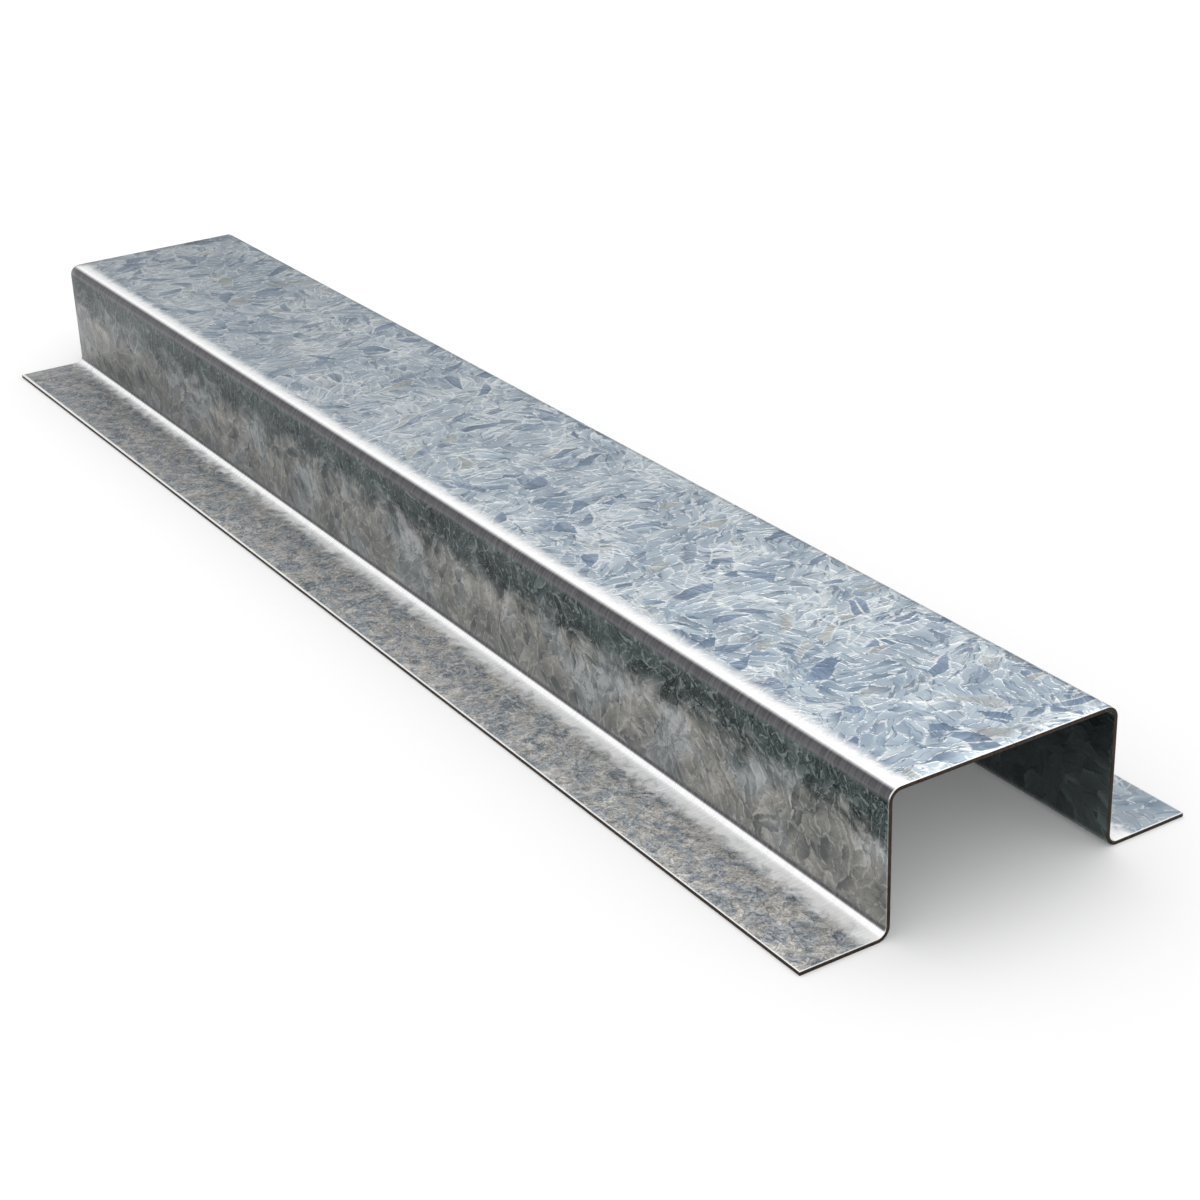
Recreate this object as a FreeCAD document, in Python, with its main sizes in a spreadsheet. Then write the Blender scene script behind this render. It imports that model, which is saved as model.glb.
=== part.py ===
"""Top hat batten: one strip of galvanised sheet steel, folded along its length into a hat section.

The strip has five flats joined by four bends: a flange, a web, the crown, a web and a flange.
Both flanges lie on the floor, X runs along the batten, Y across it and Z up. The origin is in
the middle of the length and of the width, on the plane that the flanges stand on.
"""

import FreeCAD, Part
import math
import os
import Sketcher

# The driving dimensions, in millimetres: name, value, what it measures.
DIMENSIONS = [
    ("batten_length", 500.0, "cut length along X"),
    ("crown_width", 70.0, "across the outer faces of the two webs"),
    ("batten_depth", 40.0, "from the underside of the flanges to the top of the crown"),
    ("flange_width", 25.0, "from the outer face of the web to the free edge"),
    ("sheet_gauge", 1.15, "thickness of the sheet"),
    ("bend_radius", 2.5, "inside radius of all four bends"),
]

# Point numbers that Sketcher uses for a line's or an arc's start, end and centre.
START, END, CENTRE = 1, 2, 3
# Sketcher's own number for the sketch's horizontal and vertical axes.
HORIZONTAL_AXIS, VERTICAL_AXIS = -1, -2
QUARTER_TURN = math.pi / 2


def add_dimension_sheet(doc):
    """The spreadsheet that drives the model: one row for each dimension, its value under an alias."""
    sheet = doc.addObject("Spreadsheet::Sheet", "Dimensions")
    for row, (name, value, meaning) in enumerate(DIMENSIONS, start=1):
        sheet.set(f"A{row}", name)
        sheet.set(f"B{row}", str(value))
        sheet.set(f"C{row}", meaning)
        sheet.setAlias(f"B{row}", name)
    doc.recompute()
    return sheet


def add_line(sketch, start, end):
    """Adds a straight edge of the section between two (y, z) points, and returns its number."""
    segment = Part.LineSegment(FreeCAD.Vector(*start, 0), FreeCAD.Vector(*end, 0))
    return sketch.addGeometry(segment, False)


def add_bend_arc(sketch, centre, radius, first_angle):
    """Adds a quarter circle that runs anticlockwise from first_angle, in radians."""
    circle = Part.Circle(FreeCAD.Vector(*centre, 0), FreeCAD.Vector(0, 0, 1), radius)
    arc = Part.ArcOfCircle(circle, first_angle, first_angle + QUARTER_TURN)
    return sketch.addGeometry(arc, False)


def draw_skin(sketch, sheet, on_top):
    """Draws one skin of the section from the left free edge to the right one.

    on_top is True for the skin that shows from above, and False for the one beneath it. The two
    share their bend centres: at a foot the upper skin takes the tight radius, and at a shoulder
    the lower one does. Returns the numbers of the five flats and of the four arcs.
    """
    gauge, tight = sheet.sheet_gauge, sheet.bend_radius
    wide = tight + gauge
    foot_radius, shoulder_radius = (tight, wide) if on_top else (wide, tight)
    half_crown = sheet.crown_width / 2
    free_edge = half_crown + sheet.flange_width
    foot_y, foot_z = half_crown + tight, gauge + tight
    shoulder_y, shoulder_z = half_crown - wide, sheet.batten_depth - wide
    flange_z = foot_z - foot_radius
    web_y = foot_y - foot_radius
    crown_z = shoulder_z + shoulder_radius

    flats = [
        add_line(sketch, (-free_edge, flange_z), (-foot_y, flange_z)),
        add_line(sketch, (-web_y, foot_z), (-web_y, shoulder_z)),
        add_line(sketch, (-shoulder_y, crown_z), (shoulder_y, crown_z)),
        add_line(sketch, (web_y, shoulder_z), (web_y, foot_z)),
        add_line(sketch, (foot_y, flange_z), (free_edge, flange_z)),
    ]
    bends = [
        add_bend_arc(sketch, (-foot_y, foot_z), foot_radius, -QUARTER_TURN),
        add_bend_arc(sketch, (-shoulder_y, shoulder_z), shoulder_radius, QUARTER_TURN),
        add_bend_arc(sketch, (shoulder_y, shoulder_z), shoulder_radius, 0.0),
        add_bend_arc(sketch, (foot_y, foot_z), foot_radius, 2 * QUARTER_TURN),
    ]
    return flats, bends


def constrain_skin(sketch, flats, bends):
    """Joins each flat to the next through its bend, and keeps the flats square to each other."""
    for number, bend in enumerate(bends):
        is_foot = number in (0, 3)
        entry, leaving = (START, END) if is_foot else (END, START)
        join = "Tangent"
        sketch.addConstraint(Sketcher.Constraint(join, flats[number], END, bend, entry))
        sketch.addConstraint(Sketcher.Constraint(join, bend, leaving, flats[number + 1], START))
    for number, flat in enumerate(flats):
        is_web = number in (1, 3)
        sketch.addConstraint(Sketcher.Constraint("Vertical" if is_web else "Horizontal", flat))


def add_sheared_edges(sketch, sheet, top_flats, under_flats):
    """Closes the section with the two sheared edges of the strip, and returns the left one."""
    free_edge = sheet.crown_width / 2 + sheet.flange_width
    edges = []
    for side, flat, end in ((-1, 0, START), (1, 4, END)):
        edge = add_line(sketch, (side * free_edge, 0), (side * free_edge, sheet.sheet_gauge))
        sketch.addConstraint(
            Sketcher.Constraint("Coincident", edge, START, under_flats[flat], end))
        sketch.addConstraint(Sketcher.Constraint("Coincident", edge, END, top_flats[flat], end))
        sketch.addConstraint(Sketcher.Constraint("Vertical", edge))
        edges.append(edge)
    return edges[0]


def bind(sketch, constraint, dimension):
    """Adds a dimension to the sketch and ties it to the spreadsheet cell of that name."""
    number = sketch.addConstraint(constraint)
    sketch.renameConstraint(number, dimension)
    sketch.setExpression(f"Constraints.{dimension}", f"Dimensions.{dimension}")


def draw_hat_section(body, sheet):
    """The fully constrained section of the batten, on the plane square to its length."""
    sketch = body.newObject("Sketcher::SketchObject", "HatSection")
    across = next(f for f in body.Origin.OriginFeatures if f.Role == "YZ_Plane")
    sketch.AttachmentSupport = (across, [""])
    sketch.MapMode = "FlatFace"

    top_flats, top_bends = draw_skin(sketch, sheet, on_top=True)
    under_flats, under_bends = draw_skin(sketch, sheet, on_top=False)
    constrain_skin(sketch, top_flats, top_bends)
    constrain_skin(sketch, under_flats, under_bends)
    sheared_edge = add_sheared_edges(sketch, sheet, top_flats, under_flats)

    for top_bend, under_bend in zip(top_bends, under_bends):
        sketch.addConstraint(
            Sketcher.Constraint("Coincident", top_bend, CENTRE, under_bend, CENTRE))
    tight_bends = [top_bends[0], under_bends[1], under_bends[2], top_bends[3]]
    for bend in tight_bends[1:]:
        sketch.addConstraint(Sketcher.Constraint("Equal", tight_bends[0], bend))

    left_flange, left_web, crown, right_web, right_flange = top_flats
    sketch.addConstraint(Sketcher.Constraint("Equal", left_flange, right_flange))
    sketch.addConstraint(
        Sketcher.Constraint("Symmetric", left_web, START, right_web, END, VERTICAL_AXIS))
    sketch.addConstraint(
        Sketcher.Constraint("PointOnObject", sheared_edge, START, HORIZONTAL_AXIS))

    bind(sketch, Sketcher.Constraint("DistanceX", left_web, START, right_web, END,
                                     float(sheet.crown_width)), "crown_width")
    bind(sketch, Sketcher.Constraint("DistanceY", sheared_edge, START, crown, START,
                                     float(sheet.batten_depth)), "batten_depth")
    bind(sketch, Sketcher.Constraint("DistanceX", left_flange, START, left_web, START,
                                     float(sheet.flange_width)), "flange_width")
    bind(sketch, Sketcher.Constraint("DistanceY", sheared_edge, START, sheared_edge, END,
                                     float(sheet.sheet_gauge)), "sheet_gauge")
    bind(sketch, Sketcher.Constraint("Radius", tight_bends[0],
                                     float(sheet.bend_radius)), "bend_radius")
    return sketch


def build_batten(doc, sheet):
    """The batten itself: the hat section, run along X for half the length each way."""
    body = doc.addObject("PartDesign::Body", "TopHatBatten")
    body.Label = "top_hat_batten"
    section = draw_hat_section(body, sheet)
    doc.recompute()
    run = body.newObject("PartDesign::Pad", "BattenRun")
    run.Profile = section
    run.SideType = "Symmetric"
    run.setExpression("Length", "Dimensions.batten_length")
    doc.recompute()
    return body, section


def check_model(doc, bodies, section):
    """Stops the build if a feature failed, the section is loose, or a body isn't one sound solid."""
    for item in doc.Objects:
        if {"Invalid", "Error"} & set(item.State):
            raise RuntimeError(f"{item.Name} failed: {item.State}")
    if section.solve() != 0 or not section.FullyConstrained:
        raise RuntimeError("the hat section isn't fully constrained")
    for body in bodies:
        shape = body.Shape
        if shape.isNull() or not shape.isValid() or len(shape.Solids) != 1:
            raise RuntimeError(f"{body.Label} isn't one valid solid")


def main():
    doc = FreeCAD.newDocument("TopHatBattenModel")
    sheet = add_dimension_sheet(doc)
    batten, section = build_batten(doc, sheet)
    check_model(doc, [batten], section)
    os.makedirs("parts", exist_ok=True)
    batten.Shape.exportStep(f"parts/{batten.Label}.step")
    box = batten.Shape.BoundBox
    print(f"{batten.Label}: {box.XLength:.2f} x {box.YLength:.2f} x {box.ZLength:.2f} mm, "
          f"{batten.Shape.Volume / 1000:.3f} cm3")


main()
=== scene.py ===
# %% [markdown]
# # A top hat batten in galvanised sheet steel
#
# A batten like this carries roofing, cladding or plasterboard. It starts as a flat strip of
# zinc-coated steel, and a press brake folds the strip four times along its length. The section
# then looks like a hat: a raised flat top, here called the crown, two upright webs, and two
# flanges that lie on the rafters and take the screws.
#
# It gives the real sizes and places in metres, so nothing here has to be fitted by eye.

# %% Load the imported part
import math

import bmesh
import bpy
from mathutils import Matrix, Vector


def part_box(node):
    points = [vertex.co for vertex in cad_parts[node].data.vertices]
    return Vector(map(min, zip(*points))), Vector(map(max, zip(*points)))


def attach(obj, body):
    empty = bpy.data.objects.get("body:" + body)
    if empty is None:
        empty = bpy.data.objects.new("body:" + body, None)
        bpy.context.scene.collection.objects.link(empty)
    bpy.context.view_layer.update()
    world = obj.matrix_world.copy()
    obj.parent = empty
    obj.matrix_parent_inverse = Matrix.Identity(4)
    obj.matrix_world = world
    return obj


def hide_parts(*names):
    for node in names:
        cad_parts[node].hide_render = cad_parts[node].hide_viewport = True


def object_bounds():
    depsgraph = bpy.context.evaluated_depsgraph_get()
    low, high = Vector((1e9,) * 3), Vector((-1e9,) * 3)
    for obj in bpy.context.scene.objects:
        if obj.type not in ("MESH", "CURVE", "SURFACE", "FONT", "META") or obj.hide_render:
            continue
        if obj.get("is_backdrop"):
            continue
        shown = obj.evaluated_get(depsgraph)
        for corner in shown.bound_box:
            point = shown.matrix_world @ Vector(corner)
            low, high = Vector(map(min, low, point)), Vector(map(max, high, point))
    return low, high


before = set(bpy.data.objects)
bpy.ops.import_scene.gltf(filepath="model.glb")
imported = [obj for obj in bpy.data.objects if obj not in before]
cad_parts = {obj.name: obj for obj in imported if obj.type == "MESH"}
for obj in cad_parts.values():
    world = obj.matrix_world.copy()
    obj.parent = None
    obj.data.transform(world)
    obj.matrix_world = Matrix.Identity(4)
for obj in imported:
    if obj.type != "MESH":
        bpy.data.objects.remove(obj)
cad_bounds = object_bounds()

MM = 0.001
low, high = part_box("top_hat_batten")
length, width, depth = high - low

# %% [markdown]
# ## The sizes of the folded sheet
#
# The CAD box gives the length, the width over both flanges and the depth. The other sizes are the
# ones that a folder sets: how wide a flange is, the gauge of the sheet and the inside radius of
# its bends. On the outside of a bend the radius is larger by the gauge.

# %% Sizes of the section
FLANGE_WIDTH = 25 * MM
GAUGE = 1.15 * MM
INSIDE_RADIUS = 2.5 * MM
outside_radius = INSIDE_RADIUS + GAUGE
half_crown = width / 2 - FLANGE_WIDTH
print(f"the crown is {2 * half_crown / MM:.1f} mm over the webs, "
      f"and the bends turn on {INSIDE_RADIUS / MM:.1f} and {outside_radius / MM:.2f} mm")

# %% [markdown]
# ## Picking in edit mode
#
# An operator works on whatever is selected. Here edges and faces are picked by where they lie,
# as a hand would pick them, with one helper that takes a question to ask of each element.

# %% Helpers that select by place
TINY = 0.01 * MM


def pick(piece, kind, wanted):
    """In edit mode, selects the piece's edges or faces for which wanted(element) is true."""
    bpy.ops.mesh.select_mode(type=kind)
    bpy.ops.mesh.select_all(action="DESELECT")
    sheet = bmesh.from_edit_mesh(piece.data)
    elements = sheet.edges if kind == "EDGE" else sheet.faces
    picked = [element for element in elements if wanted(element)]
    for element in picked:
        element.select_set(True)
    bmesh.update_edit_mesh(piece.data)
    return len(picked)


def near(value, target):
    return abs(value - target) < TINY


def runs_along(edge, axis):
    """True for an edge that lies along X (0), Y (1) or Z (2)."""
    reach = edge.verts[1].co - edge.verts[0].co
    return all(abs(reach[other]) < TINY for other in range(3) if other != axis)


print(f"two places count as the same within {TINY / MM} mm")

# %% [markdown]
# ## Folding the sheet
#
# The visible sheet could be the CAD solid itself, but its bends are a few coarse strips, and a
# mirror-like bend shows every strip. So the sheet is made again at the same sizes. A plane is the
# crown. Its two long edges are extruded down for the webs and then outwards for the flanges, as
# the press brake lays them.

# %% Lay out the crown, the webs and the flanges
bpy.ops.object.select_all(action="DESELECT")
bpy.ops.mesh.primitive_plane_add(size=1, location=(0, 0, depth))
batten_sheet = bpy.context.object
batten_sheet.name = batten_sheet.data.name = "batten_sheet"
batten_sheet.scale = (length, 2 * half_crown, 1)
bpy.ops.object.transform_apply(location=True, rotation=True, scale=True)

bpy.ops.object.mode_set(mode="EDIT")
pick(batten_sheet, "EDGE", lambda e: runs_along(e, 0))
bpy.ops.mesh.extrude_edges_move(
    TRANSFORM_OT_translate={"value": (0, 0, GAUGE - depth)})
for side in (-1, 1):
    pick(batten_sheet, "EDGE", lambda e: runs_along(e, 0) and near(e.verts[0].co.z, GAUGE)
         and near(e.verts[0].co.y, side * half_crown))
    bpy.ops.mesh.extrude_edges_move(
        TRANSFORM_OT_translate={"value": (0, side * FLANGE_WIDTH, 0)})
flats_laid = bmesh.from_edit_mesh(batten_sheet.data).faces
print(f"{len(flats_laid)} flats, and each faces the sky or away from the middle:",
      all(f.normal.z > 0.9 or f.normal.y * f.calc_center_median().y > 0 for f in flats_laid))

# %% [markdown]
# ## The bends
#
# Beveling the four fold lines gives the true bend radii: with a square fold, the width of the
# bevel is the radius of the bend. Twelve strips to a bend keep its highlights straight.

# %% Round the four folds
BEND_STEPS = 12


def is_fold_line(edge, height):
    """True for an edge on either fold line at this height."""
    place = edge.verts[0].co
    return runs_along(edge, 0) and near(abs(place.y), half_crown) and near(place.z, height)


for height, radius in ((depth, outside_radius), (GAUGE, INSIDE_RADIUS)):
    folds = pick(batten_sheet, "EDGE", lambda e: is_fold_line(e, height))
    bpy.ops.mesh.bevel(offset=radius, offset_type="OFFSET", segments=BEND_STEPS, profile=0.5)
    print(f"{folds} folds rounded to {radius / MM:.2f} mm")

# %% [markdown]
# ## Enough faces to show real sheet
#
# Sheet that has been through a coil line and a brake is never dead flat: the flats swell and dip
# by about a tenth of a millimetre over a hand's width. To carry that, the sheet is divided into
# cells of about 1.7 mm. Each flat is cut across and the whole sheet is cut along its length.

# %% Divide the flats
CELL = 1.7 * MM
crown_flat = 2 * (half_crown - outside_radius)
web_flat = depth - outside_radius - GAUGE - INSIDE_RADIUS
flange_flat = FLANGE_WIDTH - INSIDE_RADIUS


def cuts_for(size):
    return max(1, round(size / CELL)) - 1


flats = (
    ("crown", crown_flat, lambda e: runs_along(e, 1) and near(e.verts[0].co.z, depth)),
    ("webs", web_flat, lambda e: runs_along(e, 2) and near(e.calc_length(), web_flat)),
    ("flanges", flange_flat, lambda e: runs_along(e, 1) and near(e.calc_length(), flange_flat)
     and near(e.verts[0].co.z, GAUGE)),
)
for name, size, wanted in flats:
    pick(batten_sheet, "EDGE", wanted)
    bpy.ops.mesh.subdivide(number_cuts=cuts_for(size))
    print(f"{name}: {cuts_for(size) + 1} strips")
pick(batten_sheet, "EDGE", lambda e: runs_along(e, 0))
bpy.ops.mesh.subdivide(number_cuts=cuts_for(length))
bpy.ops.object.mode_set(mode="OBJECT")
print("faces of the divided sheet:", len(batten_sheet.data.polygons))

# %% [markdown]
# ## Slight swells in the flats
#
# A Displace modifier pushes each point along its normal by a soft cloud noise. A vertex group
# says how much of it each point takes: nothing at the bends, which the tool holds straight, and
# all of it in the middle of a flat. The crown and the webs only sink, so that the batten never
# grows past its real size, and the flanges only lift off the floor.

# %% Where the sheet may swell
FADE = 6 * MM


def flat_share(place):
    """0 at a bend or a sheared edge and 1 from 6 mm away from it, and whether it is a flange."""
    reach = abs(place.y)
    is_flange = reach > half_crown + INSIDE_RADIUS
    if is_flange:
        away = min(reach - half_crown - INSIDE_RADIUS, width / 2 - reach)
    elif place.z > depth - TINY:
        away = half_crown - outside_radius - reach
    else:
        away = min(depth - outside_radius - place.z, place.z - GAUGE - INSIDE_RADIUS)
    away = min(away, length / 2 - abs(place.x))
    return min(1, max(0, away / FADE)), is_flange


SINKING, LIFTING = "flats_that_sink", "flanges_that_lift"
for name in (SINKING, LIFTING):
    batten_sheet.vertex_groups.new(name=name)
for point in batten_sheet.data.vertices:
    share, is_flange = flat_share(point.co)
    group = batten_sheet.vertex_groups[LIFTING if is_flange else SINKING]
    group.add([point.index], share, "REPLACE")
print(f"{len(batten_sheet.data.vertices)} points have a share in the swells")

# %% Swell the flats
SWELL_WIDTH = 45 * MM
SINK_BY, LIFT_BY = 0.14 * MM, 0.1 * MM
swell = bpy.data.textures.new("sheet_swell", "CLOUDS")
swell.noise_scale = SWELL_WIDTH
swell.noise_depth = 1


def apply_modifier(piece, kind, name, **settings):
    """Adds a modifier with its settings and applies it."""
    modifier = piece.modifiers.new(name, kind)
    for setting, value in settings.items():
        setattr(modifier, setting, value)
    bpy.context.view_layer.objects.active = piece
    bpy.ops.object.modifier_apply(modifier=name)


for group_name, middle, height in ((SINKING, 1, SINK_BY), (LIFTING, 0, LIFT_BY)):
    apply_modifier(batten_sheet, "DISPLACE", "swell", texture=swell, texture_coords="LOCAL",
                   vertex_group=group_name, mid_level=middle, strength=height)
    print(f"{group_name}: up to {height / MM:.2f} mm")
batten_sheet.vertex_groups.clear()  # both swells are applied, and nothing else reads the shares

# %% [markdown]
# ## The gauge of the sheet
#
# Solidify grows the sheet from its upper skin towards the underside, so the upper skin stays
# where the CAD put it. The rim that it makes round the border is the sheared edge of the strip,
# and takes the second material slot. Where a bend starts, the rim leans by a few hundredths of a
# millimetre, so both cut ends are pressed flat again.

# %% Give the sheet its thickness
apply_modifier(batten_sheet, "SOLIDIFY", "gauge", thickness=GAUGE, offset=-1,
               use_even_offset=True, use_rim=True, material_offset_rim=1)
bpy.ops.object.mode_set(mode="EDIT")
for end in (-length / 2, length / 2):
    faces = pick(batten_sheet, "FACE", lambda f: f.normal.x * end > 0 and abs(f.normal.x) > 0.9)
    bpy.ops.transform.resize(value=(0, 1, 1), center_override=(end, 0, 0))
    print(f"{faces} faces of the cut end at {end / MM:.0f} mm are flat")

# %% [markdown]
# ## The arrises
#
# A shear leaves the edges of its cut slightly rounded. A narrow bevel on them catches the light
# as a thin bright line, which is what tells the eye that this is thin sheet.

# %% Ease the sheared edges
ARRIS = 0.1 * MM
SHARP = math.radians(60)
SMOOTH_BELOW = math.radians(32)


def is_sheared_arris(edge):
    """True for an edge between a skin of the sheet and its sheared rim."""
    normals = [face.normal for face in edge.link_faces]
    if len(normals) != 2 or normals[0].angle(normals[1]) < SHARP:
        return False
    at_end = all(near(abs(v.co.x), length / 2) for v in edge.verts)
    at_side = all(near(abs(v.co.y), width / 2) for v in edge.verts)
    return at_end or at_side


arrises = pick(batten_sheet, "EDGE", is_sheared_arris)
bpy.ops.mesh.bevel(offset=ARRIS, offset_type="OFFSET", segments=2, profile=0.5)
bpy.ops.object.mode_set(mode="OBJECT")
bpy.ops.object.select_all(action="DESELECT")
batten_sheet.select_set(True)
bpy.context.view_layer.objects.active = batten_sheet
bpy.ops.object.shade_smooth_by_angle(angle=SMOOTH_BELOW)
print(f"{arrises} arris edges eased by {ARRIS / MM:.2f} mm")

# %% [markdown]
# ## The flat blank as a map
#
# The zinc froze into crystals while the sheet was still flat, so the pattern has to run round the
# bends without a break. The UV map is the unfolded blank in metres: u runs along the batten and
# v across the blank, measured along the middle of the sheet. The underside lies beside the
# upper side, 300 mm further on, so that the two sides don't show the same crystals.

# %% Measure across the blank
middle_radius = (INSIDE_RADIUS + outside_radius) / 2
bend_run = middle_radius * math.pi / 2
top_bend_at = half_crown - outside_radius
web_at = top_bend_at + bend_run
foot_bend_at = web_at + web_flat
flange_at = foot_bend_at + bend_run
free_edge_at = flange_at + flange_flat


def across_blank(place):
    """How far a point lies from the middle of the flat blank, always positive, in metres."""
    reach, height = abs(place.y), place.z
    shoulder_y, shoulder_z = half_crown - outside_radius, depth - outside_radius
    foot_y, foot_z = half_crown + INSIDE_RADIUS, GAUGE + INSIDE_RADIUS
    if reach >= foot_y:
        return flange_at + reach - foot_y
    if reach <= shoulder_y:
        return reach
    if height >= shoulder_z:
        return top_bend_at + middle_radius * math.atan2(reach - shoulder_y, height - shoulder_z)
    if height <= foot_z:
        return foot_bend_at + middle_radius * math.atan2(foot_z - height, foot_y - reach)
    return web_at + shoulder_z - height


print(f"the flat blank is {length / MM:.0f} x {2 * free_edge_at / MM:.1f} mm")

# %% Unfold the sheet onto its UV map
UNDERSIDE_AT = 300 * MM


def is_upper(place, normal):
    """True on the side of the sheet that shows from above."""
    if half_crown - outside_radius <= abs(place.y) <= half_crown + INSIDE_RADIUS:
        return normal.y * math.copysign(1, place.y) + normal.z > 0
    return normal.z > 0


mesh = batten_sheet.data
blank = mesh.uv_layers[0] if mesh.uv_layers else mesh.uv_layers.new()
blank.name = "flat_blank"
for face in mesh.polygons:
    shift = 0 if is_upper(face.center, face.normal) else UNDERSIDE_AT
    for corner in face.loop_indices:
        place = mesh.vertices[mesh.loops[corner].vertex_index].co
        across = math.copysign(across_blank(place), face.center.y)
        blank.data[corner].uv = (place.x, across + shift)
print(f"the underside lies {UNDERSIDE_AT / MM:.0f} mm beside the upper side on the map")

# %% [markdown]
# ## Colours and nodes
#
# Colours are written as the sRGB hex values that a colour picker gives, and one function turns
# them to the linear values that a shader works in. A second one adds a node to a material, with
# its settings and with what feeds each of its inputs.

# %% Helpers for colours and nodes
def linear(colour):
    """An sRGB hex colour as linear red, green, blue and alpha."""
    shares = [int(colour[i:i + 2], 16) / 255 for i in (1, 3, 5)]
    return (*(s / 12.92 if s <= 0.04045 else ((s + 0.055) / 1.055) ** 2.4 for s in shares), 1)


def add(tree, kind, feeds=None, ramp=(), **settings):
    """Adds a node with its settings, and sets or links its inputs.

    feeds maps an input's name or number to a number, a hex colour, one of a node's outputs, or a
    node, which stands for its first output in use. ramp holds a colour ramp's evenly spaced
    colours.
    """
    node = tree.nodes.new("ShaderNode" + kind)
    for setting, value in settings.items():
        setattr(node, setting, value)
    for key, value in (feeds or {}).items():
        if isinstance(value, bpy.types.Node):
            value = next(output for output in value.outputs if output.enabled)
        if isinstance(value, bpy.types.NodeSocket):
            tree.links.new(value, node.inputs[key])
        else:
            node.inputs[key].default_value = linear(value) if isinstance(value, str) else value
    for number, colour in enumerate(ramp):
        stops = node.color_ramp.elements
        spot = number / (len(ramp) - 1)
        stop = stops[0] if number == 0 else stops[-1] if spot == 1 else stops.new(spot)
        stop.color = linear(colour)
    return node


print("a mid grey, #808080, is", round(linear("#808080")[0], 3), "in linear light")

# %% [markdown]
# ## Hot-dip galvanised zinc
#
# Zinc that freezes on steel grows in grains, the spangle. In one grain all the crystal leaves
# point the same way, and they stop where they meet the next grain, which leaves pointed shards.
# Each shard lies at its own slant to the light, so one looks pale, its neighbour slate blue, and
# a few look beige. Where two shards meet, a fine raised seam of zinc stands up.
#
# A layer of crystals is made with two Voronoi patterns on a map that noise has made crooked. The
# first gives the grains. Its random colour turns the map inside each grain by its own angle, and
# the second, stretched one then draws the leaves along that direction.

# %% One layer of zinc crystals
def crystal_layer(tree, place, grain, leaf, stretch, crooked):
    """Grains of about grain metres, filled with leaves of about leaf metres across.

    Returns the leaves' random tones, the distance in metres to the nearest seam between leaves,
    the place measured along and across the leaves, and how high that place lies on its leaf,
    which leans its own way, as a share of the leaf's width.
    """
    sway = add(tree, "TexNoise", {"Vector": place, "Scale": 0.9 / grain, "Detail": 3.0},
               noise_dimensions="2D")
    sway = add(tree, "VectorMath", {0: sway.outputs["Color"], 1: (0.5, 0.5, 0.5)},
               operation="SUBTRACT")
    warped = add(tree, "VectorMath", {0: sway, 1: (crooked, crooked, 0), 2: place},
                 operation="MULTIPLY_ADD")
    grains = add(tree, "TexVoronoi", {"Vector": warped, "Scale": 1 / grain},
                 voronoi_dimensions="2D")
    angle = add(tree, "Math", {0: grains.outputs["Color"], 1: 2 * math.pi}, operation="MULTIPLY")
    turned = add(tree, "VectorRotate", {"Vector": warped, "Center": grains.outputs["Position"],
                 "Angle": angle}, rotation_type="Z_AXIS")
    leaf_map = add(tree, "VectorMath", {0: turned, 1: (1 / stretch, 1, 1)}, operation="MULTIPLY")
    leaves = add(tree, "TexVoronoi", {"Vector": leaf_map, "Scale": 1 / leaf},
                 voronoi_dimensions="2D")
    seams = add(tree, "TexVoronoi", {"Vector": leaf_map, "Scale": 1 / leaf},
                voronoi_dimensions="2D", feature="DISTANCE_TO_EDGE")
    to_seam = add(tree, "Math", {0: seams, 1: leaf}, operation="MULTIPLY")
    leaf_tones = add(tree, "SeparateColor", {0: leaves.outputs["Color"]})
    offset = add(tree, "VectorMath", {0: leaf_map, 1: leaves.outputs["Position"]},
                 operation="SUBTRACT")
    lean = add(tree, "VectorMath", {0: leaves.outputs["Color"], 1: (0.5, 0.5, 0.5)},
               operation="SUBTRACT")
    rise = add(tree, "VectorMath", {0: offset, 1: lean}, operation="DOT_PRODUCT")
    rise = add(tree, "Math", {0: rise.outputs["Value"], 1: 1 / leaf}, operation="MULTIPLY")
    return leaf_tones, to_seam, leaf_map, rise


zinc = bpy.data.materials.new("hot_dip_galvanised_zinc")
zinc.use_nodes = True
zinc.node_tree.nodes.clear()
tree = zinc.node_tree
blank_map = add(tree, "UVMap", uv_map="flat_blank")
ELSEWHERE = (0.83, 0.37, 0)  # far enough off for the second layer to show other crystals
moved_map = add(tree, "VectorMath", {0: blank_map, 1: ELSEWHERE}, operation="ADD")
leaf_tones, leaf_seam, leaf_map, leaf_rise = crystal_layer(
    tree, blank_map, grain=13 * MM, leaf=3.3 * MM, stretch=2.7, crooked=8 * MM)
shard_tones, shard_seam, _, shard_rise = crystal_layer(
    tree, moved_map, grain=19 * MM, leaf=4.4 * MM, stretch=2.8, crooked=7 * MM)
print("leaves of 3.3 mm and large shards of 4.4 mm across:", len(tree.nodes), "nodes")
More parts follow.
